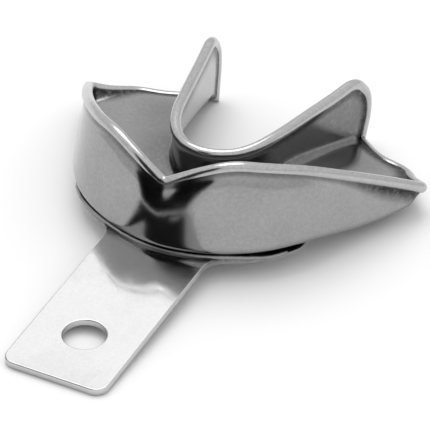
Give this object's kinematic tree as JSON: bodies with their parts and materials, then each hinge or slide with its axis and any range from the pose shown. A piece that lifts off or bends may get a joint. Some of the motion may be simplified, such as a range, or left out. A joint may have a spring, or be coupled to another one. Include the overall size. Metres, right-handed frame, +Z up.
{
  "type": "dental impression tray",
  "caption": "Lower-arch metal impression tray: horseshoe trough with a beaded rim, open tongue space and a flat handle with a hole.",
  "frame": {"origin": "middle of the tray's footprint on the table it rests on", "axes": "+Z up out of the trough, +Y from the handle to the heels, +X across the arch"},
  "size_m": [0.0642, 0.0872, 0.0209],
  "materials": {
    "tray_bowl": "polished, finely drawn sheet",
    "rim_wire": "bright polished wire",
    "tongue_wire": "bright polished wire",
    "handle_plate": "polished flat plate with fine scratches",
    "solder_film": "dull solder"
  },
  "bodies": {
    "root": {"tray_bowl": "tray_bowl", "rim_wire": "rim_wire", "tongue_wire": "tongue_wire", "handle_plate": "handle_plate", "solder_film": "solder_film"}
  },
  "joints": []
}
